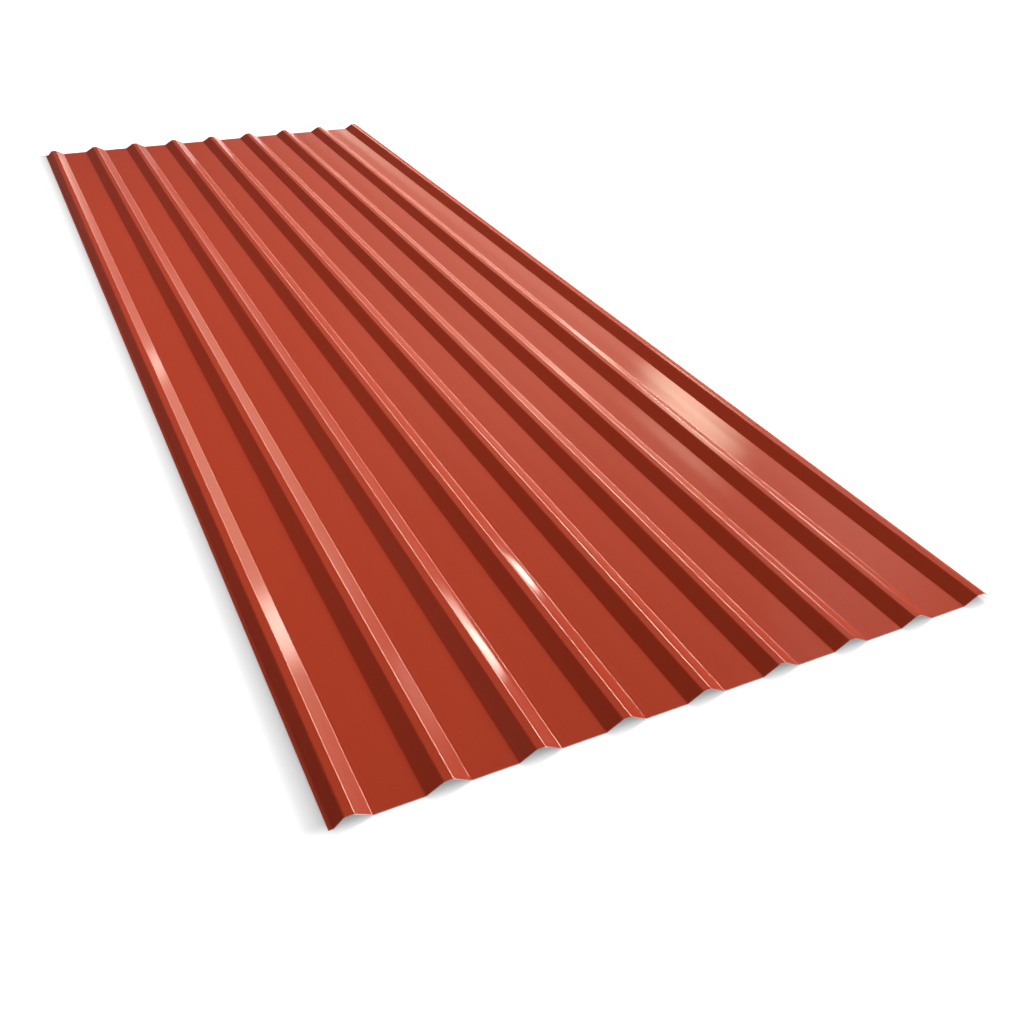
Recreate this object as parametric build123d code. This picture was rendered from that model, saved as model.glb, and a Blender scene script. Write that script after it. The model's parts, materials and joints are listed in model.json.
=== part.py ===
"""A trapezoidal roofing sheet, roll-formed in one piece from a flat strip of coated steel.

The sheet lies on its pans. X runs across the ribs, Y along them and Z up, and the origin is
at the middle of the sheet, on the plane that the pans rest on. All lengths are millimetres.
"""

import os
from math import atan2, cos

from build123d import *

# The strip
sheet_length = 3200.0
sheet_thickness = 0.5

# The ribs, measured on the underside of the sheet
rib_count = 9
rib_pitch = 137.5
rib_height = 15.0
rib_crown_width = 13.0
rib_base_width = 65.0

# The inner radius of the bends, at the crown on the underside and at the foot on top
crown_inner_radius = 6.0
foot_inner_radius = 4.0

# The shallow bead that stiffens the middle of each pan
bead_height = 0.4
bead_crown_width = 15.0
bead_flank_run = 4.0

# The underlap edge: a lower rib that ends in a leg lying flat on the roof
lap_clearance = 0.4
underlap_flank_run = 15.0
bearing_leg_width = 7.0

# The overlap edge: a rib whose outer flank is cut short, so that it hooks over the next sheet
overlap_lip_run = 12.0

# Sizes that follow from those above
rib_flank_run = (rib_base_width - rib_crown_width) / 2
flank_fall_per_run = rib_height / rib_flank_run
flank_angle = atan2(rib_height, rib_flank_run)
lap_drop = sheet_thickness / cos(flank_angle) + lap_clearance
underlap_height = rib_height - lap_drop
foot_bend_radius = foot_inner_radius + sheet_thickness
crown_bend_radius = crown_inner_radius


def trapezoid(centre, height, crown_width, left_run, right_run):
    """Corners of one raised fold, from its left foot over its crown to its right foot."""
    half_crown = crown_width / 2
    return [
        (centre - half_crown - left_run, 0),
        (centre - half_crown, height),
        (centre + half_crown, height),
        (centre + half_crown + right_run, 0),
    ]


def underlap_edge(centre):
    """The first rib, with its flat bearing leg at the outer foot."""
    inner_run = underlap_height / flank_fall_per_run
    fold = trapezoid(centre, underlap_height, rib_crown_width, underlap_flank_run, inner_run)
    outer_foot_x, outer_foot_z = fold[0]
    leg_tip = (outer_foot_x - bearing_leg_width, outer_foot_z)
    return [leg_tip] + fold


def pan_bead(centre):
    """The stiffening bead along the middle of a pan."""
    return trapezoid(centre, bead_height, bead_crown_width, bead_flank_run, bead_flank_run)


def inner_rib(centre):
    """A rib between two pans."""
    return trapezoid(centre, rib_height, rib_crown_width, rib_flank_run, rib_flank_run)


def overlap_edge(centre):
    """The last rib, whose outer flank stops part of the way down."""
    left_foot, left_crown, right_crown, _ = inner_rib(centre)
    crown_x, crown_z = right_crown
    lip_tip = (crown_x + overlap_lip_run, crown_z - overlap_lip_run * flank_fall_per_run)
    return [left_foot, left_crown, right_crown, lip_tip]


def underside_line():
    """The underside of the folded strip, from the bearing leg to the overlap lip."""
    last_rib = rib_count - 1
    corners = underlap_edge(0)
    for rib in range(1, rib_count):
        corners += pan_bead((rib - 1 / 2) * rib_pitch)
        corners += overlap_edge(rib * rib_pitch) if rib == last_rib else inner_rib(rib * rib_pitch)

    # Every fold turns up at its feet, where the underside is the outer face of the bend,
    # and over at its crown, where the underside is the inner face
    fold_radii = [foot_bend_radius, crown_bend_radius, crown_bend_radius, foot_bend_radius]
    bends = len(corners) - 2
    radii = [fold_radii[bend % len(fold_radii)] for bend in range(bends)]
    return FilletPolyline(*corners, radius=radii)


def profiled_sheet():
    """The strip at its full thickness, drawn out along the ribs and centred on the origin."""
    outline = underside_line().offset_2d(sheet_thickness, side=Side.LEFT)
    section = Plane.XZ * make_face(outline)
    sheet = extrude(section, sheet_length / 2, both=True)
    return Pos(-sheet.bounding_box().center().X, 0, 0) * sheet


sheet = profiled_sheet()
sheet.label = "profiled_sheet"
os.makedirs("parts", exist_ok=True)
export_step(sheet, "parts/profiled_sheet.step")

size = sheet.bounding_box().size
cover_width = (rib_count - 1) * rib_pitch
print(f"sheet {size.X:.1f} x {size.Y:.1f} x {size.Z:.1f} mm, cover width {cover_width:.1f} mm")
print(f"underlap rib {underlap_height:.2f} mm high, volume {sheet.volume:.0f} cubic mm")
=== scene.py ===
# %% [markdown]
# # A red roofing sheet
#
# The object is one strip of zinc-coated steel, painted red on top and grey below, that rollers
# have bent into nine low ribs. It lies on a white studio floor. The CAD model is loaded first, as
# a fixed frame in metres: the sheet below is drawn to fit it, and nothing in it is moved.

# %% Load the frame
import json
from math import atan2, ceil, cos, exp, pi, radians, sin, tan

import bpy
import numpy as np
from mathutils import Matrix, Quaternion, Vector, noise


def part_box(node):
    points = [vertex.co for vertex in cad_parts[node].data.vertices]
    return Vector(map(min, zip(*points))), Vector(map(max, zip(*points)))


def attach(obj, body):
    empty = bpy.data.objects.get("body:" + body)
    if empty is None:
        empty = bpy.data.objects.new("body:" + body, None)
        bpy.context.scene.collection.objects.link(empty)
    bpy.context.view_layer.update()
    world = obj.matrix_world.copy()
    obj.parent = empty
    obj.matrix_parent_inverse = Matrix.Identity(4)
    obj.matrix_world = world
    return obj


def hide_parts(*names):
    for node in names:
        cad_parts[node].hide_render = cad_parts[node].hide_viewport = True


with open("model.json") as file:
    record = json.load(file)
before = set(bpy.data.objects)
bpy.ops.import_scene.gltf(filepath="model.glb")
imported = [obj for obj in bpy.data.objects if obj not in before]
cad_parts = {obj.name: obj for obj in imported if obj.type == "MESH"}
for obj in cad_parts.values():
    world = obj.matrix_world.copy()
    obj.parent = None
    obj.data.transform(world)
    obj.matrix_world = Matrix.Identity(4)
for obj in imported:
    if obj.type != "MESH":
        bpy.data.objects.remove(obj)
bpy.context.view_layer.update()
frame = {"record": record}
sheet_low, sheet_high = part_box("profiled_sheet")

# %% [markdown]
# ## The camera
#
# The photograph looks down on the near-left corner, so the ribs run away from us and close up. A
# camera can be placed by eye or fitted. This one was fitted to the outline and the rib feet, and
# that gives three plain facts: where it stands, in metres, which way it looks, in radians, and its
# focal length, in pixels of the picture.

# %% Camera
camera_place = Vector((-0.7755, -2.4671, 1.0873))
camera_turn, camera_tilt, camera_roll = 0.4754, 0.5982, 0.0369
focal_pixels, picture_pixels, sensor_width = 1046.94, 1024, 36.0

ahead = Vector((sin(camera_turn), cos(camera_turn), 0))
forward = ahead * cos(camera_tilt) - Vector((0, 0, sin(camera_tilt)))
level = Vector((cos(camera_turn), -sin(camera_turn), 0))
upright = level.cross(forward)
right = level * cos(camera_roll) + upright * sin(camera_roll)
above = upright * cos(camera_roll) - level * sin(camera_roll)
camera_axes = Matrix((right, above, -forward)).transposed()

camera_data = bpy.data.cameras.new("camera")
camera_data.sensor_width = sensor_width
camera_data.lens = focal_pixels / picture_pixels * sensor_width
camera = bpy.data.objects.new("camera", camera_data)
camera.matrix_world = Matrix.Translation(camera_place) @ camera_axes.to_4x4()
bpy.context.scene.collection.objects.link(camera)
bpy.context.scene.camera = camera
bpy.context.scene.view_settings.view_transform = "Standard"
print("lens", round(camera_data.lens, 2), "mm")

# %% [markdown]
# ## The section
#
# A profiled sheet has the same section from end to end, so the section is worth care. The record
# holds points on the sheet that other parts mate with, and the pitch, the heights and the
# thickness are read from those. The widths and bends of the folds are the ones that the part was
# drawn with, measured on the underside. A curve could be extruded along the sheet, but a list of
# points lets every bend and swell be set exactly.

# %% Sizes of the section
mm = 0.001
record = frame["record"]
mounts = {mount["name"]: Vector(mount["pos_m"]) for mount in record["mounts"]}
openings = [opening["name"] for opening in record["physics"]["openings"]]

rib_count = sum(name.startswith("rib_tunnel") for name in openings)
first_rib_x = mounts["underlap_crown"].x
last_rib_x = mounts["overlap_crown_underside"].x
rib_pitch = (last_rib_x - first_rib_x) / (rib_count - 1)
rib_height = mounts["overlap_crown_underside"].z
strip_thickness = mounts["pan_screw_seat"].z - mounts["pan_underside"].z
underlap_height = mounts["underlap_crown"].z - strip_thickness

crown_width, flank_run = 13 * mm, 26 * mm
underlap_flank_run, bearing_leg_width, overlap_lip_run = 15 * mm, 7 * mm, 12 * mm
foot_bend_radius, crown_bend_radius = 4.5 * mm, 6 * mm
print(rib_count, "ribs at", round(rib_pitch / mm, 2), "mm")
print("strip", round(strip_thickness / mm, 2), "mm thick")

# %% [markdown]
# The section is first drawn as a line of sharp corners along the underside. Each rib is a
# trapezoid, with two feet and two crown corners. The first one also gets a short leg to stand on,
# and the last one stops part of the way down, so that it can lap over the next sheet.

# %% Corners of the underside
slope = rib_height / flank_run


def trapezoid(centre, height, left_run, right_run):
    left, right = centre - crown_width / 2, centre + crown_width / 2
    return [(left - left_run, 0), (left, height), (right, height), (right + right_run, 0)]


corners = trapezoid(first_rib_x, underlap_height, underlap_flank_run, underlap_height / slope)
corners.insert(0, (corners[0][0] - bearing_leg_width, 0))
for number in range(1, rib_count):
    corners += trapezoid(first_rib_x + number * rib_pitch, rib_height, flank_run, flank_run)
corners[-1] = (corners[-2][0] + overlap_lip_run, rib_height - overlap_lip_run * slope)
corners = [Vector(corner) for corner in corners]
print(len(corners), "corners from", round(corners[0].x, 4), "to", round(corners[-1].x, 4), "m")

# %% [markdown]
# Rollers can't fold steel to a sharp corner, so each corner becomes an arc. The arc is walked in
# equal turns, and every point keeps the direction that the strip faces there. Moving a point that
# way by one thickness gives the top face, and the two faces stay parallel round every bend. The
# flats between the bends are level and sloping in turn. They are cut into strips, and each point
# keeps its share of the way across its flat.

# %% Bends and flats
bend_step = radians(7.5)
level_strip, flank_strip = 6 * mm, 3.5 * mm
bend_radii = [foot_bend_radius, crown_bend_radius, crown_bend_radius, foot_bend_radius]
last_flat = len(corners) - 2


def facing(direction):
    return Vector((-direction.y, direction.x))


def flat_points(start, end, flat):
    strip = flank_strip if flat % 2 else level_strip
    steps = max(1, ceil((end - start).length / strip))
    normal = facing((end - start).normalized())
    return [(start.lerp(end, step / steps), normal, step / steps, flat) for step in range(1, steps)]


section = [(corners[0], Vector((0, 1)), 0, 0)]
for flat in range(last_flat):
    before, corner, after = corners[flat : flat + 3]
    arriving, leaving = (corner - before).normalized(), (after - corner).normalized()
    turn = atan2(arriving.cross(leaving), arriving.dot(leaving))
    radius = bend_radii[flat % len(bend_radii)]
    bend_start = corner - arriving * radius * tan(abs(turn) / 2)
    to_centre = radius if turn > 0 else -radius
    centre = bend_start + facing(arriving) * to_centre
    section += flat_points(section[-1][0], bend_start, flat)
    bend_steps = ceil(abs(turn) / bend_step)
    for step in range(bend_steps + 1):
        normal = facing(Matrix.Rotation(turn * step / bend_steps, 2) @ arriving)
        section.append((centre - normal * to_centre, normal, 0, flat))

lip = corners[-1] - section[-1][0]
section += flat_points(section[-1][0], corners[-1], last_flat)
section.append((corners[-1], facing(lip.normalized()), 0, last_flat))
points, facings, shares, flats = (np.array(column) for column in zip(*section))
print(len(section), "points across the sheet")

# %% [markdown]
# ## The sheet
#
# Flat steel this thin is never as flat as glass. Its faces rise and fall by a few hundredths of a
# millimetre, and two of the flanks belly out near the close end, by about 0.45 and 1.5 mm, where
# they throw back a bright spot of light. Both are small swells of the surface. A displacement
# texture could make them, but as numbers they can also be measured. Pans only rise and crowns only
# sink, so the sheet keeps its box.

# %% Waves and bellies
station_count = 101
stations = np.linspace(sheet_low.y, sheet_high.y, station_count)
wave_heights = {
    "pan": 0.03 * mm, "left flank": 0.03 * mm, "crown": -0.02 * mm, "right flank": 0.03 * mm,
}
flat_kinds = list(wave_heights)
wave_length, noise_gap, noise_slice = 0.55, 3.7, 0.5

# For each bellied rib: how far from the near end, how far it reaches, and its height
bellies = {3: (0.21, 0.07, 0.57 * mm), 4: (0.375, 0.08, 1.97 * mm)}


def kind_of(flat):
    return flat_kinds[flat % len(flat_kinds)]


def wave(flat, y):
    swing = noise.noise(Vector((flat * noise_gap, y / wave_length, noise_slice)))
    return wave_heights[kind_of(flat)] * (0.5 + 0.5 * swing)


def belly(flat, y):
    rib = flat // len(flat_kinds) + 1
    if kind_of(flat) != "right flank" or rib not in bellies:
        return 0.0
    from_near_end, reach, height = bellies[rib]
    return height * exp(-(((y - sheet_low.y - from_near_end) / reach) ** 2))


waves = np.array([[wave(flat, y) for y in stations] for flat in range(last_flat + 1)])
bulges = np.array([[belly(flat, y) for y in stations] for flat in range(last_flat + 1)])
print("waves up to", round(np.abs(waves).max() / mm, 3), "mm")

# %% [markdown]
# Each pan also has a low pressed bead along its middle, which stiffens it. In this light it hardly
# shows, so here it is a low, soft swell too. The three swells are added up at every point: a wave
# is highest in the middle of its flat, and a belly is fullest low on its flank.

# %% All the swells together
bead_height, bead_width = 0.1 * mm, 50 * mm
pan_numbers = flats // len(flat_kinds)
pan_middles = first_rib_x + (pan_numbers - 0.5) * rib_pitch
from_middle = np.minimum(np.abs(points[:, 0] - pan_middles) / (bead_width / 2), 1)
bead = bead_height * (0.5 + 0.5 * np.cos(pi * from_middle))
beads = np.where(flats % len(flat_kinds) == 0, bead, 0)

mid_flat = np.sin(pi * shares) ** 2
low_on_flank = np.minimum(shares, 4 * (1 - shares))
swell = mid_flat * waves[flats].T + low_on_flank * bulges[flats].T + beads
print("swells from", round(swell.min() / mm, 3), "to", round(swell.max() / mm, 3), "mm")

# %% [markdown]
# The mesh is two skins of the same grid, one on top and one below, joined by a rim along the four
# cut edges. A Solidify modifier could thicken one skin, but two skins keep the thickness true round
# the bends and give each side its own finish.

# %% Build the mesh
skins = []
for depth in (0, strip_thickness):
    x = points[:, 0] + facings[:, 0] * (swell + depth)
    z = points[:, 1] + facings[:, 1] * (swell + depth)
    skins.append(np.stack([x, np.broadcast_to(stations[:, None], x.shape), z], axis=-1))
places = np.array(skins).reshape(-1, 3)
under, over = np.arange(len(places)).reshape(2, station_count, len(section))


def quads(a, b, c, d):
    return np.stack([a, b, c, d], axis=-1).reshape(-1, 4)


top_faces = quads(over[:-1, :-1], over[:-1, 1:], over[1:, 1:], over[1:, :-1])
back_faces = quads(under[:-1, :-1], under[1:, :-1], under[1:, 1:], under[:-1, 1:])
rim_faces = np.concatenate([
    quads(under[0, :-1], under[0, 1:], over[0, 1:], over[0, :-1]),
    quads(under[-1, 1:], under[-1, :-1], over[-1, :-1], over[-1, 1:]),
    quads(under[1:, 0], under[:-1, 0], over[:-1, 0], over[1:, 0]),
    quads(under[:-1, -1], under[1:, -1], over[1:, -1], over[:-1, -1]),
])
faces = np.concatenate([top_faces, back_faces, rim_faces])

sheet_mesh = bpy.data.meshes.new("coated_sheet")
sheet_mesh.from_pydata(places.tolist(), [], faces.tolist())
top_finish, back_finish, cut_finish = range(3)
face_counts = [len(top_faces), len(back_faces), len(rim_faces)]
face_finish = np.repeat([top_finish, back_finish, cut_finish], face_counts)
sheet_mesh.polygons.foreach_set("material_index", face_finish)
print(2 * len(faces), "triangles")

# %% [markdown]
# Smooth shading guesses a normal at each point from the faces round it, and beside a narrow bend
# the guess is poor, so that a line of light along the bend would wobble. Here the true normal is
# known: the way the strip faces, tipped by the slope of the swell. It is handed to the mesh as
# custom normals. The rim gets none, and stays flat.

# %% Exact normals
steps_across = np.linalg.norm(np.diff(points, axis=0), axis=1)
way_across = np.concatenate([[0], np.cumsum(steps_across)])
slope_across = np.gradient(swell, way_across, axis=1)
slope_along = np.gradient(swell, stations, axis=0)
true_normals = np.stack([
    facings[:, 0] - slope_across * facings[:, 1],
    -slope_along,
    facings[:, 1] + slope_across * facings[:, 0],
], axis=-1)
true_normals /= np.linalg.norm(true_normals, axis=-1, keepdims=True)
true_normals = true_normals.reshape(-1, 3)

smooth_up_to = radians(60)
sheet_mesh.polygons.foreach_set("use_smooth", face_finish != cut_finish)
sheet_mesh.set_sharp_from_angle(angle=smooth_up_to)
sheet_mesh.normals_split_custom_set(np.concatenate([
    true_normals[top_faces - len(true_normals)].reshape(-1, 3),
    -true_normals[back_faces].reshape(-1, 3),
    np.zeros((rim_faces.size, 3)),
]).tolist())
print(len(true_normals), "normals on each side")

# %% [markdown]
# The new mesh now stands in for the CAD sheet. It rides on the one body that the part has, and
# hides the plain solid.

# %% Place the sheet
coated_sheet = bpy.data.objects.new("coated_sheet", sheet_mesh)
bpy.context.scene.collection.objects.link(coated_sheet)
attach(coated_sheet, "root")
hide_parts("profiled_sheet")
print("sheet rides on root")

# %% [markdown]
# ## Wiring for the finishes
#
# A finish is a network of shader nodes. Written one node at a time, the maths is hard to read, so
# a small class stands for a socket: adding or multiplying two of them adds the Math node that does
# it. Every other node comes from one method, which sets the node up and then fills its sockets.

# %% A wire between shader nodes
class Wire:
    def __init__(self, socket):
        self.socket = socket
        self.tree = socket.id_data

    @classmethod
    def node(cls, tree, kind, settings=(), sockets=(), output=0):
        made = tree.nodes.new(kind)
        for name, value in dict(settings).items():
            if name == "stops":
                cls.lay_stops(made.color_ramp.elements, value)
            else:
                setattr(made, name, value)
        for name, value in dict(sockets).items():
            if isinstance(value, Wire):
                tree.links.new(value.socket, made.inputs[name])
            else:
                made.inputs[name].default_value = value
        return cls(made.outputs[output]) if made.outputs else None

    @staticmethod
    def lay_stops(elements, stops):
        for place, _ in stops[2:]:
            elements.new(place)
        for element, (place, level) in zip(elements, stops):
            element.position = place
            element.color = (level, level, level, 1)

    def maths(self, operation, first, second=0.0):
        settings, sockets = {"operation": operation}, {0: first, 1: second}
        return Wire.node(self.tree, "ShaderNodeMath", settings, sockets)

    def __add__(self, other):
        return self.maths("ADD", self, other)

    def __sub__(self, other):
        return self.maths("SUBTRACT", self, other)

    def __rsub__(self, other):
        return self.maths("SUBTRACT", other, self)

    def __mul__(self, other):
        return self.maths("MULTIPLY", self, other)

    def __pow__(self, other):
        return self.maths("POWER", self, other)

    def __abs__(self):
        return self.maths("ABSOLUTE", self)

    __radd__ = __add__
    __rmul__ = __mul__


print("a wire adds Math nodes for +, -, *, ** and abs")

# %% [markdown]
# Every finish starts from an empty material and ends in a Principled shader. The shader's sockets
# are given by name, with an underscore for each space.

# %% Start and cover a material
def bare_material(name):
    material = bpy.data.materials.new(name)
    material.use_nodes = True
    material.node_tree.nodes.clear()
    return material, material.node_tree


def cover(material, **sockets):
    tree = material.node_tree
    names = {name.replace("_", " "): value for name, value in sockets.items()}
    shader = Wire.node(tree, "ShaderNodeBsdfPrincipled", (), names)
    Wire.node(tree, "ShaderNodeOutputMaterial", (), {"Surface": shader})
    print(material.name, len(tree.nodes), "nodes")


print(len(bpy.data.materials), "materials so far")

# %% [markdown]
# A few patterns come back all the time. Object coordinates give a point's place in metres, and they
# can be split into their parts or stretched, so that noise becomes a grain along the sheet. Colours
# are blended, values step softly from 0 to 1, and a grain can stand up as a fine relief.

# %% Shared patterns
# A Mix node has sockets for numbers and vectors too, so its colour sockets are found by number
COLOUR_A, COLOUR_B, COLOUR_RESULT = 6, 7, 2
relief_depth = 0.1 * mm


def place_in_metres(tree):
    return Wire.node(tree, "ShaderNodeTexCoord", output="Object")


def split(vector, axes):
    kind, sockets = "ShaderNodeSeparateXYZ", {"Vector": vector}
    return [Wire.node(vector.tree, kind, (), sockets, axis) for axis in axes]


def vector_maths(operation, first, second, output="Vector"):
    settings, sockets = {"operation": operation}, {0: first, 1: second}
    return Wire.node(first.tree, "ShaderNodeVectorMath", settings, sockets, output)


def grain(tree, per_metre, detail):
    stretched = vector_maths("MULTIPLY", place_in_metres(tree), per_metre)
    sockets = {"Vector": stretched, "Scale": 1.0, "Detail": detail}
    return Wire.node(tree, "ShaderNodeTexNoise", (), sockets)


def blend(factor, first, second):
    settings, sockets = {"data_type": "RGBA"}, {0: factor, COLOUR_A: first, COLOUR_B: second}
    return Wire.node(factor.tree, "ShaderNodeMix", settings, sockets, COLOUR_RESULT)


def soft_step(value, low, high):
    settings = {"interpolation_type": "SMOOTHSTEP"}
    sockets = {"Value": value, "From Min": low, "From Max": high}
    return Wire.node(value.tree, "ShaderNodeMapRange", settings, sockets)


def relief(height, strength):
    sockets = {"Strength": strength, "Distance": relief_depth, "Height": height}
    return Wire.node(height.tree, "ShaderNodeBump", (), sockets)


print("patterns ready, relief", round(relief_depth / mm, 2), "mm deep")

# %% [markdown]
# ## The red coating
#
# Coil coating is a baked polyester paint, about as glossy as eggshell, laid on the flat strip
# before it is bent. Close up it has a fine orange peel, faint streaks along the strip from the
# rollers, and a slow drift of tone. A broad satin gloss lies under a thin clear one, which is what
# draws the bright lines along the bends. At the cut ends the paint is chipped to the zinc, and the
# outer side of the last rib, which rubs on other sheets in the stack, has lost its clear gloss. A
# picture of paint could be wrapped on, but noise placed in metres is sharp from any distance.

# %% Red coating
red_paint, tree = bare_material("red_coating")
brick_red, pale_red = (0.43, 0.043, 0.015, 1), (0.50, 0.054, 0.021, 1)
middle_tone, drift_strength, streak_strength = 0.4, 0.9, 0.08
satin_roughness, streak_roughness, clear_gloss = 0.5, 0.10, 0.6
bare_zinc, zinc_metallic = (0.56, 0.57, 0.57, 1), 0.8
chip_width, chip_spread = 0.9 * mm, 1.6 * mm
rub_fade = crown_width / 4

drift = grain(tree, (2.2, 0.9, 2.2), detail=3.0) - 0.5
streaks = grain(tree, (260, 1.1, 260), detail=3.0) - 0.5
crumbs = grain(tree, (900, 900, 900), detail=2.0) - 0.5
peel = grain(tree, (420, 420, 420), detail=1.0)

cross_place, length_place = split(place_in_metres(tree), "XY")
from_end = sheet_high.y - abs(length_place)
chipped = 1 - soft_step(from_end + crumbs * chip_spread, 0.0, chip_width)
rubbed = soft_step(cross_place, last_rib_x - rub_fade, last_rib_x + rub_fade)
tone = middle_tone + drift * drift_strength + streaks * streak_strength
cover(
    red_paint,
    Base_Color=blend(chipped, blend(tone, brick_red, pale_red), bare_zinc),
    Metallic=chipped * zinc_metallic,
    Roughness=satin_roughness + streaks * streak_roughness,
    Specular_IOR_Level=0.02,
    Coat_Weight=clear_gloss * (1 - chipped) * (1 - rubbed),
    Coat_Roughness=0.105,
    Normal=relief(peel, strength=0.04),
)

# %% [markdown]
# ## The backing coat
#
# The underside gets a thin grey primer. It is dull, slightly mottled, and scuffed lengthwise by the
# rollers and by the sheets that it was stacked on. It is made as the red is, without a clear gloss.

# %% Grey backing coat
grey_primer, tree = bare_material("grey_backing_coat")
primer_light, primer_dark = (0.50, 0.51, 0.50, 1), (0.38, 0.39, 0.39, 1)
mottle_share, dull_roughness, mottle_roughness = 0.6, 0.5, 0.25

mottle = grain(tree, (28, 9, 28), detail=4.0)
scuffs = grain(tree, (190, 1.6, 190), detail=3.0)
worn = mottle * mottle_share + scuffs * (1 - mottle_share)
cover(
    grey_primer,
    Base_Color=blend(worn, primer_light, primer_dark),
    Roughness=dull_roughness + (mottle - 0.5) * mottle_roughness,
    Normal=relief(scuffs, strength=0.10),
)

# %% [markdown]
# ## The cut edge
#
# The shears leave bare steel between two bright zinc layers, half a millimetre in all. The metal is
# torn, so it is rough, and its grey changes from grain to grain. It could be a stripe in the other
# finishes, but one of its own keeps exactly to the cut faces. The three finishes then go on the
# mesh in the order that its faces were numbered: top, back and cut.

# %% Sheared edge
sheared_edge, tree = bare_material("sheared_edge")
bright_zinc, grey_steel = (0.62, 0.63, 0.64, 1), (0.40, 0.40, 0.41, 1)
zinc_roughness, tear_roughness = 0.55, 0.2

tear = grain(tree, (700, 700, 2600), detail=3.0)
cover(
    sheared_edge,
    Base_Color=blend(tear, bright_zinc, grey_steel),
    Metallic=0.5,
    Roughness=zinc_roughness + tear * tear_roughness,
)
for finish in (red_paint, grey_primer, sheared_edge):
    sheet_mesh.materials.append(finish)
print([finish.name for finish in sheet_mesh.materials])

# %% [markdown]
# ## The floor
#
# The sheet lies on a wide square of card. A white world alone would do for the background, but only
# a floor can hold the shadow. A thin gap keeps the two surfaces apart, so that they don't flicker
# through each other.

# %% Floor
floor_reach, floor_gap = 60.0, 0.2 * mm
floor_z = sheet_low.z - floor_gap
square = ((-1, -1), (1, -1), (1, 1), (-1, 1))
floor_corners = [(x * floor_reach, y * floor_reach, floor_z) for x, y in square]

floor_mesh = bpy.data.meshes.new("floor")
floor_mesh.from_pydata(floor_corners, [], [(0, 1, 2, 3)])
floor = bpy.data.objects.new("floor", floor_mesh)
bpy.context.scene.collection.objects.link(floor)
print("floor at", round(floor_z / mm, 2), "mm")

# %% [markdown]
# The ground is white, with a soft shadow that is wide at the left and narrow elsewhere. The card is
# mid grey. Away from the sheet it glows white for the camera and in gloss, as an overlit studio
# floor does. Near the sheet the glow sinks to about a quarter. This paints a soft shadow round the
# sheet, on top of the shadow that the lamps cast, and it fades out 70 mm away at the left, 40 mm
# away at the near end and 15 mm away on the other sides. At the near end the painted shadow is set
# 16 mm inside the sheet, so some glow reaches into the rib mouths as painted light.

# %% Card with a painted shadow
white_card, tree = bare_material("white_card")
white, black, card_grey = (1, 1, 1, 1), (0, 0, 0, 1), (0.5, 0.5, 0.5, 1)
# Painted shadow: the glow that is left near the sheet, how far inside the near end it starts, and
# how far it reaches on each side
painted_shadow_glow, painted_glow_mouth_depth = 0.26, 0.016
painted_shadow_low_reach, painted_shadow_high_reach = Vector((0.07, 0.04, 1)), Vector((0.015, 0.015, 1))


def seen_rays(tree):
    rays = ("Is Camera Ray", "Is Glossy Ray", "Is Transmission Ray")
    return [Wire.node(tree, "ShaderNodeLightPath", output=ray) for ray in rays]


# How far a point lies outside the painted shadow, measured in its reaches
spot = place_in_metres(tree)
painted_shadow_corner = sheet_low + Vector((0, painted_glow_mouth_depth, 0))
past_low = vector_maths("DIVIDE", vector_maths("SUBTRACT", spot, painted_shadow_corner), -painted_shadow_low_reach)
past_high = vector_maths("DIVIDE", vector_maths("SUBTRACT", spot, sheet_high), painted_shadow_high_reach)
outside = vector_maths("MAXIMUM", vector_maths("MAXIMUM", past_low, past_high), (0, 0, 0))
on_floor = vector_maths("MULTIPLY", outside, (1, 1, 0))
out_of_painted_shadow = vector_maths("LENGTH", on_floor, (0, 0, 0), output="Value")
camera_rays, gloss_rays, clear_rays = seen_rays(tree)
# The glow, dimmed near the sheet into a painted shadow
glow_with_painted_shadow = painted_shadow_glow + (1 - painted_shadow_glow) * soft_step(out_of_painted_shadow, 0.0, 1.0)
cover(
    white_card,
    Base_Color=card_grey,
    Roughness=0.9,
    Specular_IOR_Level=0.0,
    Emission_Color=blend((camera_rays + gloss_rays + clear_rays) * glow_with_painted_shadow, black, white),
    Emission_Strength=1.0,
)
floor_mesh.materials.append(white_card)

# %% [markdown]
# ## The studio light
#
# To the camera the room is white all round. To the sheet it is a dim grey, darker overhead and on
# the left, so that the pans, which mirror its far half, keep their deep red. In gloss the half
# behind the camera is white as well, like a lit paper sweep. A picture of a studio could light the
# scene, but for plain walls a ramp and two soft steps are enough.

# %% The room
room = bpy.data.worlds.new("studio")
room.use_nodes = True
tree = room.node_tree
tree.nodes.clear()
horizon_to_zenith = [(0.0, 0.25), (0.10, 0.22), (0.24, 0.14), (1.0, 0.10)]
left_share, turn_width = 0.35, 0.4

look = Wire.node(tree, "ShaderNodeTexCoord", output="Generated")
rightward, farther, upward = split(look, "XYZ")
sweep = Wire.node(tree, "ShaderNodeValToRGB", {"stops": horizon_to_zenith}, {"Fac": upward})
from_left = left_share + (1 - left_share) * soft_step(rightward, -turn_width, turn_width)
behind_camera = 1 - soft_step(farther, -turn_width, 0.0)
camera_rays, gloss_rays, clear_rays = seen_rays(tree)
shown_white = camera_rays + (gloss_rays + clear_rays) * behind_camera
wall = blend(shown_white, blend(from_left, black, sweep), white)
backdrop = Wire.node(tree, "ShaderNodeBackground", (), {"Color": wall})
Wire.node(tree, "ShaderNodeOutputWorld", (), {"Surface": backdrop})
bpy.context.scene.world = room
print("room", len(tree.nodes), "nodes")

# %% [markdown]
# A point lamp would show as a dot in the gloss, so each lamp is a softbox, a rectangle of light
# behind cloth. It is set by its brightness, because that is what a glossy sheet mirrors, and its
# watts are pi times its brightness and area. A crisp one is even all over. A soft one dims towards
# its edges, so that its mirror image has no hard border, and a fading one also dims along its
# length. A lamp may light only the colour, or show only in the gloss.

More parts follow.
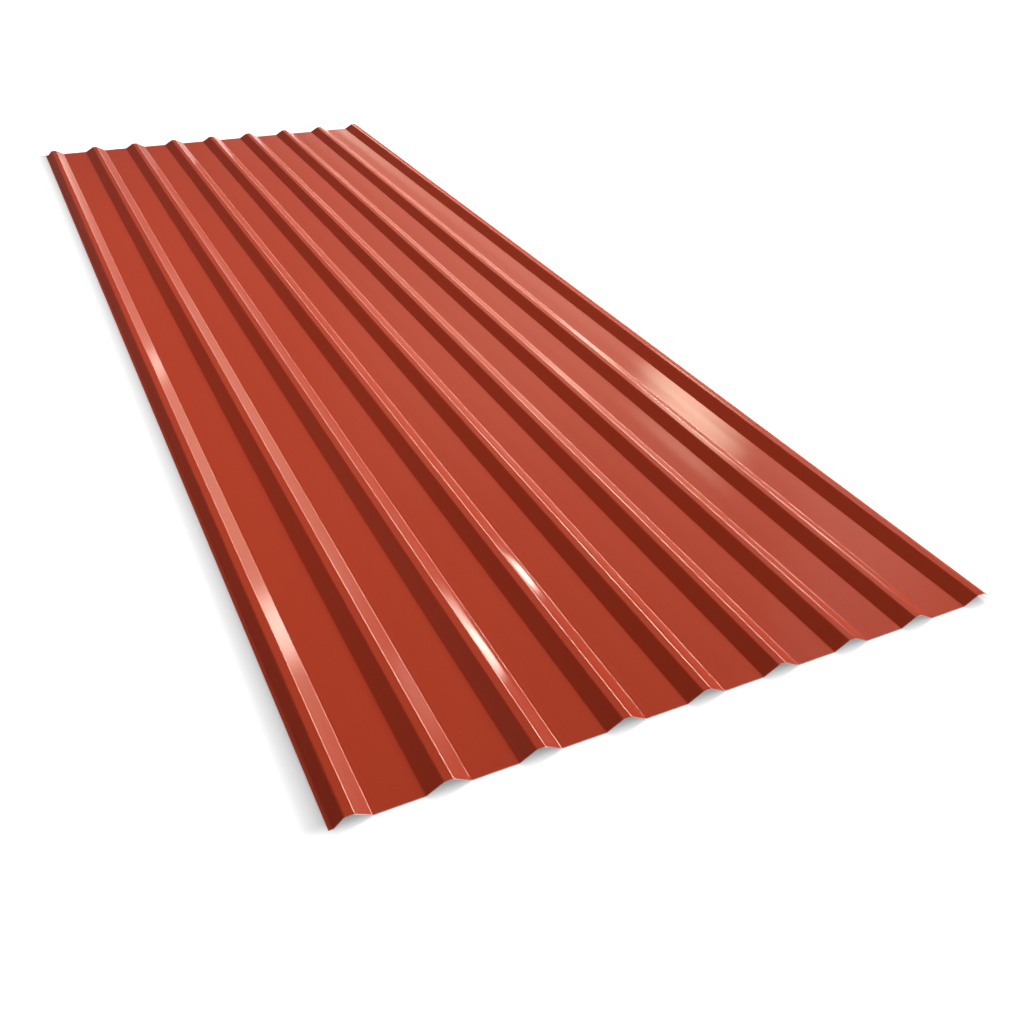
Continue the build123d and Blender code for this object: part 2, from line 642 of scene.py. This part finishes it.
# %% Softboxes
fade_power, fade_rest = 2.7, 0.035
fade_start, fade_full = -0.02, 0.13
neutral = (1, 1, 1)


def hump(share):
    return 4 * share * (1 - share)


def soften(lamp, fading):
    lamp.use_nodes = True
    tree = lamp.node_tree
    tree.nodes.clear()
    across, up = split(Wire.node(tree, "ShaderNodeTexCoord", output="UV"), "XY")
    if fading:
        dimming = (1 - across) ** fade_power + fade_rest
        cloth = hump(up) * dimming * soft_step(across, fade_start, fade_full)
    else:
        cloth = hump(up) * hump(across)
    glow = Wire.node(tree, "ShaderNodeEmission", (), {"Strength": cloth})
    Wire.node(tree, "ShaderNodeOutputLight", (), {"Surface": glow})


def softbox(
    name, place, aim, size, brightness, roll=0.0, lights="all", edge="crisp", tint=neutral
):
    width, height = size
    lamp = bpy.data.lights.new(name, "AREA")
    lamp.shape = "RECTANGLE"
    lamp.size, lamp.size_y = width, height
    lamp.energy = brightness * pi * width * height
    lamp.color = tint
    if edge != "crisp":
        soften(lamp, edge == "fading")
    holder = bpy.data.objects.new(name, lamp)
    aimed = (Vector(aim) - Vector(place)).to_track_quat("-Z", "Y") @ Quaternion((0, 0, 1), roll)
    holder.matrix_world = Matrix.Translation(place) @ aimed.to_matrix().to_4x4()
    holder.visible_camera = False
    holder.visible_diffuse = lights != "gloss"
    holder.visible_glossy = lights != "colour"
    bpy.context.scene.collection.objects.link(holder)
    print(name, round(lamp.energy, 1), "W")


print("a fading lamp dims to", fade_rest, "at its far end")

# %% [markdown]
# Four lamps bring out the colour. Two stand at the right, one above the other, so that the right
# flanks are bright and the left ones dark. Two weaker fills lift the left edge and the near end.

# %% Lamps for the colour
middle = (0, 0, 0)
softbox("key_softbox", (4.2, 1.6, 2.6), middle, (1.2, 1.2), 46.5, lights="colour")
softbox("high_key_softbox", (4.2, 1.6, 3.9), middle, (1.2, 1.2), 44.5, lights="colour")
softbox("left_fill", (-1.2, 0.3, 1.3), (-0.5, 0.3, 0), (4.4, 0.3), 3.7, lights="colour")
softbox("near_fill", (2.4, -3.0, 1.5), (0, -0.6, 0), (1.5, 0.5), 9.5, lights="colour")

# %% [markdown]
# The others stand beyond the sheet, to the right, where it mirrors them to the camera. Two broad
# dim panels lay a sheen on it, and the first also lights the colour. A small lamp makes the streak
# in the last pan, and a long one draws the lines along the bends. Four little ones make the
# glints: two on the first rib, and one on each flank that bellies out. All are a little warm, or
# their mirror images would look pink on the red.

# %% Lamps for the gloss
warm, warmer = (1.0, 0.92, 0.78), (1.0, 0.92, 0.70)
sheen = {"lights": "gloss", "edge": "soft", "tint": warmer}
glint = {"lights": "gloss", "edge": "soft", "tint": warm}
line = {"lights": "gloss", "edge": "fading", "tint": warm}


def belly_middle(rib):
    flank_x = first_rib_x + (rib - 1) * rib_pitch + (crown_width + flank_run) / 2
    return (flank_x, sheet_low.y + bellies[rib][0], 0)


softbox("panel_softbox", (4.2, 6.0, 3.2), (4.2, 0, 3.2), (5.6, 4.2), 0.35, edge="soft", tint=warmer)
softbox(
    "low_panel_softbox", (4.7, 6.1, 1.48), (-0.4, -0.6, 0), (6.0, 1.5), 1.5, radians(-14), **sheen
)
softbox(
    "streak_softbox", (3.768, 3.347, 2.845), (0.458, -0.813, 0.065), (1.15, 0.38), 11.5,
    radians(-36), **sheen,
)
softbox("line_softbox", (5.7, 7.85, 3.065), middle, (10.96, 0.8), 170.0, radians(-21.5), **line)
softbox(
    "glint_softbox", (4.3, 4.55, 1.47), (-0.52, -1.19, 0), (0.75, 0.7), 13.0, radians(-12), **glint
)
softbox("third_glint_softbox", (4.482, 2.885, 0.544), belly_middle(3), (0.5, 0.34), 22.0, **glint)
softbox("fourth_glint_softbox", (4.424, 3.256, 0.546), belly_middle(4), (0.5, 0.34), 22.0, **glint)
softbox("far_glint_softbox", (2.008, 5.193, 0.786), (-0.525, -0.19, 0), (0.25, 0.3), 6.0, **glint)
